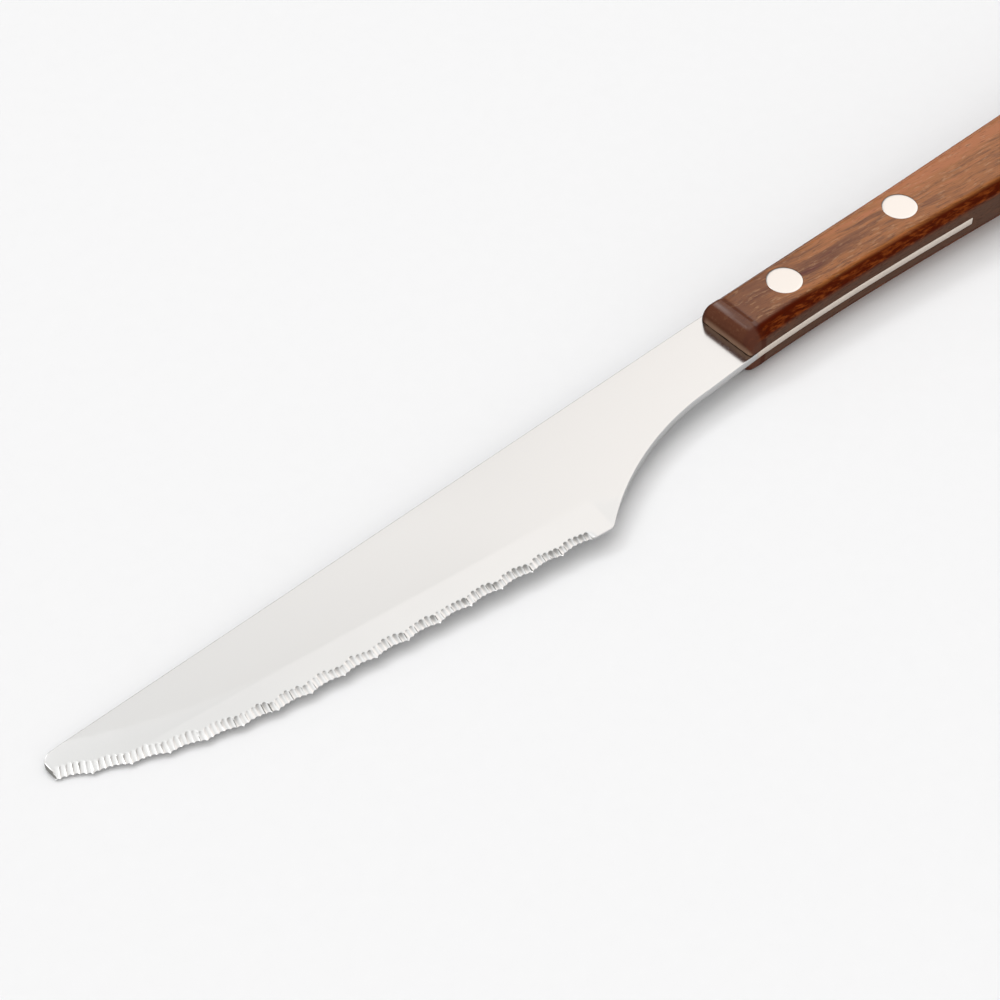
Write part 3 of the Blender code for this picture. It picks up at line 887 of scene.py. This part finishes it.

# %% [markdown]
# ## Colours laid over the wood
# The remaining colours are glazed over the browns one after the other, as a furniture painter
# would do it: flecks and the dark belly band (partly stain, partly painted shade) first, then a
# painted sheen on the belly, pores, end grain, a painted reflection of the blade low on the front,
# and painted shade in the crease and along the back edge. A loop over a short table does it, so
# that a colour can be added as one more row.

# %% Glaze the colours over
# What a colour follows, where it starts, where it is full, how much it covers, and the colour.
glazes = ((grain["flecks"], 0.54, 0.72, 0.45, "B08862"),  # pale flecks
          (stain_and_shade, 2.2, 1.4, 1.0, "451203"),  # dark band along the belly, partly stain, partly painted shade
          (low_flecks, 0.48, 0.82, 0.6, "944A1C"),  # orange flecks in the dark belly band
          # Painted reflection of the bright table on the belly's underside.
          (above, 0.3, 0.0, 0.85, "57443A"),  # painted sheen: greyish reflection of the table on the belly
          (grain["pores"], 0.57, 0.72, 0.5, "2E120A"),  # open pores
          (wood_x, 2.5, 1.6, 0.8, "56352A"),  # end grain on the rolled front
          (blade_reflection_place, 2.1, 1.0, 0.85, "917461"),  # painted reflection of the bright blade, low on the front
          (crease, 0.7, 0.25, 0.6, "401408"),  # painted shade in the crease
          # Painted shade where the arched back turns away from the light.
          (wood_y, -1.7, -0.95, 0.85, "4A2A22"))  # painted shade along the arched back edge
colour = browns.outputs[0]
for value, start, end, most, code in glazes:
    cover = add_node(tree, "ShaderNodeMapRange", SOFT, Value=value, From_Min=start, From_Max=end,
                     To_Max=most)
    colour = add_node(tree, "ShaderNodeMix", {"data_type": "RGBA"}, _0=cover.outputs[0],
                      _6=colour, _7=hex_colour(code)).outputs[2]
tree.links.new(colour, shader.inputs["Base Color"])
print(len(glazes), "colours over the browns")

# %% [markdown]
# ## Lacquer
# The wood itself is dull, and the shine comes from a clear coat on top. The coat is full on the
# flat cheeks, where it lays a pale veil over the wood, and was rubbed thin over the rounded back,
# front and belly, which stay dark and deep.

# %% Lacquer the wood
WOOD_ROUGHNESS = 0.35
FIBRE_ROUGHNESS = 0.2
FIBRE_DEPTH = 0.03
FIBRE_STRENGTH = 0.12
LACQUER_EDGE = (3.68, 3.97)  # distances from the blade's plane, and the coat there
LACQUER_COAT = (0.06, 1.0)
LACQUER_ROUGHNESS = 0.05
LACQUER_IOR = 1.36  # 1.5 is typical of lacquer; a thin, worn coat mirrors less

dulled = add_node(tree, "ShaderNodeMath", {"operation": "MULTIPLY_ADD"}, _0=grain["fibres"],
                  _1=FIBRE_ROUGHNESS, _2=WOOD_ROUGHNESS)
peel = add_node(tree, "ShaderNodeBump", {}, Height=grain["fibres"], Strength=FIBRE_STRENGTH,
                Distance=FIBRE_DEPTH * MM)
lacquer = add_node(tree, "ShaderNodeMapRange", SOFT, Value=depth, From_Min=LACQUER_EDGE[0],
                   From_Max=LACQUER_EDGE[1], To_Min=LACQUER_COAT[0], To_Max=LACQUER_COAT[1])
tree.links.new(dulled.outputs[0], shader.inputs["Roughness"])
tree.links.new(peel.outputs[0], shader.inputs["Normal"])
tree.links.new(lacquer.outputs[0], shader.inputs["Coat Weight"])
shader.inputs["Specular IOR Level"].default_value = 0.0
shader.inputs["Coat Roughness"].default_value = LACQUER_ROUGHNESS
shader.inputs["Coat IOR"].default_value = LACQUER_IOR
handle.data.materials.clear()
handle.data.materials.append(wood)
print("lacquer from", LACQUER_COAT[0], "at the edges to", LACQUER_COAT[1], "on the cheeks")

# %% [markdown]
# ## Rivets ground flush
# A cutler's rivet is a headed sleeve pressed in from one side and a headed pin pressed into it
# from the other. Once they are in, heads and wood are ground together, so each head lies flat in
# the cheek, a touch lower at its rim. A profile of each half is drawn as a line and spun to a
# round piece, as a lathe would turn it.

# %% Turn the four rivet halves
SLEEVE_RADIUS = 1.7
SLEEVE_END = -1.6
PIN_RADIUS = 1.0
PIN_GAP = 0.1
PIN_END = -2.7
BORE_END = 2.8
HEAD_SINK = 0.005
RIM_SINK = 0.03
RIM_START = 2.45
RIVET_CREASE = 30
MERGE_GAP = 0.0005
rivet_rings = (0, 0.6, 1.2, 1.7, 2.1, 2.35, 2.48, 2.53, RIVET_RADIUS)


def turn_rivet(name, centre, side, shank):
    """Spin one rivet half: a flush head and the shank behind it."""
    shape = bmesh.new()
    shoulder = HALF_HANDLE - RIVET_HEAD
    profile = [(radius, HALF_HANDLE) for radius in rivet_rings]
    profile += [(RIVET_RADIUS, shoulder), (shank[0][0], shoulder), *shank]
    line = [shape.verts.new((centre.x + radius, centre.y, height)) for radius, height in profile]
    wire = [shape.edges.new(pair) for pair in zip(line, line[1:])]
    bmesh.ops.spin(shape, geom=line + wire, cent=(centre.x, centre.y, 0), axis=(0, 0, 1),
                   angle=math.tau, steps=ROUND_STEPS, use_merge=True)
    bmesh.ops.remove_doubles(shape, verts=shape.verts, dist=MERGE_GAP)
    for vert in shape.verts:
        if vert.co.z > HALF_HANDLE - 2 * MERGE_GAP:
            out = max((vert.co.xy - centre).length - RIM_START, 0) / (RIVET_RADIUS - RIM_START)
            vert.co.z -= HEAD_SINK + RIM_SINK * out
    if side < 0:
        bmesh.ops.scale(shape, vec=(1, 1, -1), verts=shape.verts)
    piece = make_piece(name, shape, RIVET_CREASE)
    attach(piece, "root")
    return piece


bore = PIN_RADIUS + PIN_GAP
sleeve_shank = [(SLEEVE_RADIUS, SLEEVE_END), (bore, SLEEVE_END), (bore, BORE_END), (0, BORE_END)]
pin_shank = [(PIN_RADIUS, PIN_END), (0, PIN_END)]
rivets = []
for label, centre in rivet_centres.items():
    sleeve = turn_rivet(f"{label}_sleeve_rivet", centre, 1, sleeve_shank)
    pin = turn_rivet(f"{label}_pin_rivet", centre, -1, pin_shank)
    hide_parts(f"{label}_rivet_sleeve")
    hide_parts(f"{label}_rivet_pin")
    rivets += [sleeve, pin]
print([piece.name for piece in rivets])

# %% [markdown]
# ## Satin rivet metal
# The heads are soft aluminium, ground together with the wood, so they are duller than the blade:
# a warm white metal with fine scratches in every direction. One noise makes both the scratches'
# roughness and a slight change of tint.

# %% Metal for the rivets
SCRATCH_SIZE = 0.25  # real scratches are finer, and would not show
GROUND_ROUGHNESS = 0.12
SCRATCH_ROUGHNESS = 0.12

# Ground aluminium gives the eye a soft, even white that hardly mirrors anything.
white_metal, tree, shader, axes = new_finish("satin_ground_aluminium")
scratches = add_node(tree, "ShaderNodeTexNoise", {}, Vector=axes, Scale=1 / SCRATCH_SIZE,
                     Detail=4.0, Roughness=0.7)
dull = add_node(tree, "ShaderNodeMath", {"operation": "MULTIPLY_ADD"}, _0=scratches.outputs[0],
                _1=SCRATCH_ROUGHNESS, _2=GROUND_ROUGHNESS)
worn = add_node(tree, "ShaderNodeMix", {"data_type": "RGBA"}, _0=scratches.outputs[0],
                _6=hex_colour("C9C4C0"), _7=hex_colour("D1CDC9"))
tree.links.new(dull.outputs[0], shader.inputs["Roughness"])
tree.links.new(worn.outputs[2], shader.inputs["Base Color"])
shader.inputs["Metallic"].default_value = 1.0
for piece in rivets:
    piece.data.materials.append(white_metal)
print("rivet metal on", len(rivets), "pieces")

# %% [markdown]
# ## The table
# The knife lies on matt white card, which gives the eye nothing but a clean ground for the
# shadow. It is far larger than the picture, so that its rim is never seen from any side. The
# card's pulp is a change of tint that can hardly be seen.

# %% Lay the table
TABLE_HALF = 4.0  # metres
TABLE_CELLS = 8
CARD_ROUGHNESS = 0.9
PULP_SIZE = 2.5  # far coarser than real fibres, which would not show

table_shape = bmesh.new()
bmesh.ops.create_grid(table_shape, x_segments=TABLE_CELLS, y_segments=TABLE_CELLS, size=TABLE_HALF)
table_mesh = bpy.data.meshes.new("white_card_table")
table_shape.to_mesh(table_mesh)
table_shape.free()
table = bpy.data.objects.new("white_card_table", table_mesh)
bpy.context.scene.collection.objects.link(table)
card = bpy.data.materials.new("matt_white_card")
card.use_nodes = True
tree = card.node_tree
shader = tree.nodes["Principled BSDF"]
place = add_node(tree, "ShaderNodeTexCoord", {})
pulp = add_node(tree, "ShaderNodeTexNoise", {}, Vector=place.outputs["Object"],
                Scale=1 / (PULP_SIZE * MM), Detail=3.0)
paper = add_node(tree, "ShaderNodeMix", {"data_type": "RGBA"}, _0=pulp.outputs[0],
                 _6=hex_colour("E7E9ED"), _7=hex_colour("E9EBEF"))
tree.links.new(paper.outputs[2], shader.inputs["Base Color"])
shader.inputs["Roughness"].default_value = CARD_ROUGHNESS
shader.inputs["Specular IOR Level"].default_value = 0.0
table_mesh.materials.append(card)
table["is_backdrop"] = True
print("table", 2 * TABLE_HALF, "m wide")

# %% [markdown]
# ## The soft box
# A product photographer lights a knife with one very large soft box, behind and above it: the
# steel then mirrors an even white, and the shadow falls on the edge side. Lamps could do this,
# but the surroundings of the world serve better, because light from so far away falls on the
# whole table alike. A direction is read by its lean, from 0 degrees at the back horizon over 90
# overhead to 180 at the front, and sideways, from -1 at the left to 1 at the right.

# %% Outline the soft box
BOX_BACK = (46, 56)  # where the box is dark, and where it has its full light
BOX_FRONT = (103, 86)
BOX_LEFT = (-0.56, -0.4)
BOX_RIGHT = (0.98, 0.9)

world = bpy.data.worlds.new("studio")
world.use_nodes = True
bpy.context.scene.world = world
tree = world.node_tree
background = tree.nodes["Background"]
way = add_node(tree, "ShaderNodeTexCoord", {})
split = add_node(tree, "ShaderNodeSeparateXYZ", {}, Vector=way.outputs["Generated"])
turned = add_node(tree, "ShaderNodeMath", {"operation": "ARCTAN2"}, _0=split.outputs[2],
                  _1=split.outputs[1])
lean = add_node(tree, "ShaderNodeMath", {"operation": "DEGREES"}, _0=turned.outputs[0]).outputs[0]
sideways = split.outputs[0]
box = 1.0
for value, (dark, bright) in ((lean, BOX_BACK), (lean, BOX_FRONT), (sideways, BOX_LEFT),
                              (sideways, BOX_RIGHT)):
    limit = add_node(tree, "ShaderNodeMapRange", SOFT, Value=value, From_Min=dark, From_Max=bright)
    box = add_node(tree, "ShaderNodeMath", {"operation": "MULTIPLY"}, _0=box,
                   _1=limit.outputs[0]).outputs[0]
print("soft box from", BOX_BACK[1], "to", BOX_FRONT[1], "degrees over the table")

# %% [markdown]
# ## Light inside and outside the box
# No soft box is quite even. This one is warmer toward the right, where the handle mirrors it, and
# much brighter in its lower left part, which lights the table and glints in the flutes. Around
# the box is a warm grey room, lighter low down at the front, so that the front wall and the belly
# of the handle don't go black.

# %% Light the box and the room
WHITE_CLOTH = (1.37, 1.365, 1.35, 1)
WARM_CLOTH = (1.77, 1.69, 1.62, 1)
ROOM_TINT = (1.02, 1.0, 0.95)
# Name, setting, what it follows, from where to where, and its level at both ends.
level = {}
for name, setting, value, start, end, first, last in (
        ("warmth", {}, sideways, 0.2, 0.56, 0, 1),  # from white cloth to warm cloth
        ("to_left", {}, sideways, 0.17, 0.03, 0, 2.4),  # how bright the left part is
        ("low_down", SOFT, lean, 64.5, 60, 0, 1),  # where the left part is at its brightest
        ("high_up", SOFT, lean, 70, 77, 0, 0.08),  # a trace of it near the top
        ("far_left", SOFT, sideways, -0.02, -0.14, 0, 0.5),  # its outer corner,
        ("half_up", SOFT, lean, 75, 67, 0, 1),  # which reaches higher
        ("rise", {}, lean, 58, 68, 1.0, 1.02),  # the whole box, lighter toward the top
        ("room", SOFT, lean, 100, 150, 0.4, 0.85)):  # the room outside the box
    level[name] = add_node(tree, "ShaderNodeMapRange", setting, Value=value, From_Min=start,
                           From_Max=end, To_Min=first, To_Max=last).outputs[0]
cloth = add_node(tree, "ShaderNodeMix", {"data_type": "RGBA"}, _0=level["warmth"],
                 _6=WHITE_CLOTH, _7=WARM_CLOTH)
corner = add_node(tree, "ShaderNodeMath", {"operation": "MULTIPLY"}, _0=level["far_left"],
                  _1=level["half_up"])
low_part = add_node(tree, "ShaderNodeMath", {"operation": "MAXIMUM"}, _0=level["low_down"],
                    _1=corner.outputs[0])
left_part = add_node(tree, "ShaderNodeMath", {"operation": "ADD"}, _0=low_part.outputs[0],
                     _1=level["high_up"])
gain = add_node(tree, "ShaderNodeMath", {"operation": "MULTIPLY_ADD"}, _0=level["to_left"],
                _1=left_part.outputs[0], _2=level["rise"])
bright_cloth = add_node(tree, "ShaderNodeVectorMath", {"operation": "SCALE"},
                        Vector=cloth.outputs[2], Scale=gain.outputs[0])
warm_room = add_node(tree, "ShaderNodeVectorMath", {"operation": "SCALE"}, Vector=ROOM_TINT,
                     Scale=level["room"])
glow = add_node(tree, "ShaderNodeMix", {"data_type": "RGBA"}, _0=box,
                _6=warm_room.outputs[0], _7=bright_cloth.outputs[0])
tree.links.new(glow.outputs[2], background.inputs["Color"])
background.inputs["Strength"].default_value = 1.0
print(len(level), "steps of light in the world")

# %% [markdown]
# ## A fill lamp
# A second, warm light from the front left lifts the shadows and the front of the handle. It is a
# sun lamp with a very wide angle, so its own shadow has no edge, and it isn't mirrored in the
# steel or the lacquer. The Standard view keeps the white of the card white.

# %% Add the fill lamp
FILL_FROM = Vector((-0.62, -0.28, 0.73))
FILL_POWER = 0.9
FILL_COLOUR = (1.0, 0.96, 0.91)
FILL_WIDTH = math.radians(60)

fill_lamp = bpy.data.lights.new("fill_light", "SUN")
fill_lamp.energy = FILL_POWER
fill_lamp.color = FILL_COLOUR
fill_lamp.angle = FILL_WIDTH
fill = bpy.data.objects.new("fill_light", fill_lamp)
fill.rotation_mode = "QUATERNION"
fill.rotation_quaternion = FILL_FROM.to_track_quat("Z", "Y")
fill.visible_glossy = False
bpy.context.scene.collection.objects.link(fill)
bpy.context.scene.view_settings.view_transform = "Standard"
print("fill lamp", round(math.degrees(math.asin(FILL_FROM.normalized().z))), "degrees high")

# %% [markdown]
# ## The camera
# The photograph was taken with a longish lens from the blade's edge side, looking down at about
# 48 degrees, with the butt left outside the picture. The numbers come from matching the straight
# spine, the round rivets and the handle's square front.

# %% Set up the camera
VIEW_TURN = math.radians(-42.3396)
VIEW_RISE = math.radians(47.8469)
VIEW_ROLL = math.radians(0.9861)
VIEW_PLACE = Vector((-0.191404, -0.164001, 0.253232))
FOCAL_PIXELS = 2589.25
PICTURE_PIXELS = 1000
SENSOR_WIDTH = 36
NEAREST = 0.01

towards = Vector((math.sin(VIEW_TURN) * math.cos(VIEW_RISE),
                  -math.cos(VIEW_TURN) * math.cos(VIEW_RISE), math.sin(VIEW_RISE)))
right = (-towards).cross(Vector((0, 0, 1))).normalized()
up = towards.cross(right)
right, up = (right * math.cos(VIEW_ROLL) + up * math.sin(VIEW_ROLL),
             up * math.cos(VIEW_ROLL) - right * math.sin(VIEW_ROLL))
lens = bpy.data.cameras.new("camera")
lens.sensor_width = SENSOR_WIDTH
lens.lens = SENSOR_WIDTH * FOCAL_PIXELS / PICTURE_PIXELS
lens.clip_start = NEAREST
camera = bpy.data.objects.new("camera", lens)
view_axes = Matrix((right, up, towards)).transposed().to_4x4()
camera.matrix_world = Matrix.Translation(VIEW_PLACE) @ view_axes
bpy.context.scene.collection.objects.link(camera)
bpy.context.scene.camera = camera
print(f"lens {lens.lens:.1f} mm")

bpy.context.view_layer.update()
for name in ("cad_box", "visual"):
    box = cad_box if name == "cad_box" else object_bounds()
    print(name, [[round(1000 * value, 2) for value in corner] for corner in box])
